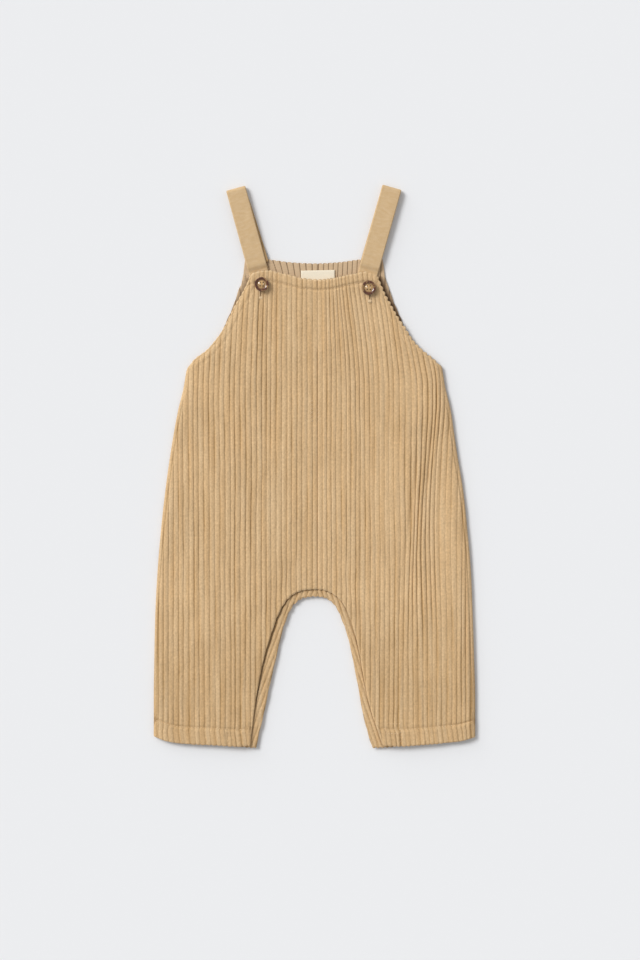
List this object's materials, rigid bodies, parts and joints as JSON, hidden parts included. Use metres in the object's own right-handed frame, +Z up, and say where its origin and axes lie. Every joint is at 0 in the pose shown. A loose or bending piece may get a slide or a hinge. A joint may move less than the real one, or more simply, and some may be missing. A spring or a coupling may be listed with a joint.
{
  "type": "bib overalls",
  "caption": "Baby's wide-wale corduroy bib overalls, laid flat with the shoulder straps buttoned to the bib.",
  "frame": {"origin": "on the surface the garment lies on, under the middle of its outline", "axes": "+Y from the leg hems to the shoulder straps, +X to the right of someone looking down at the front, +Z up from the surface"},
  "size_m": [0.297, 0.5198, 0.0104],
  "materials": {
    "corduroy": "camel cotton corduroy with wide soft wales",
    "strap_band": "the same cotton cut across, brushed smooth",
    "button_resin": "polished brown tortoise resin",
    "label_tape": "cream woven tape, bare"
  },
  "bodies": {
    "root": {"front_left": "corduroy", "back_left": "corduroy", "facing_left": "corduroy", "strap_left": "strap_band", "button_left": "button_resin", "front_right": "corduroy", "back_right": "corduroy", "facing_right": "corduroy", "strap_right": "strap_band", "button_right": "button_resin", "label": "label_tape"}
  },
  "joints": []
}
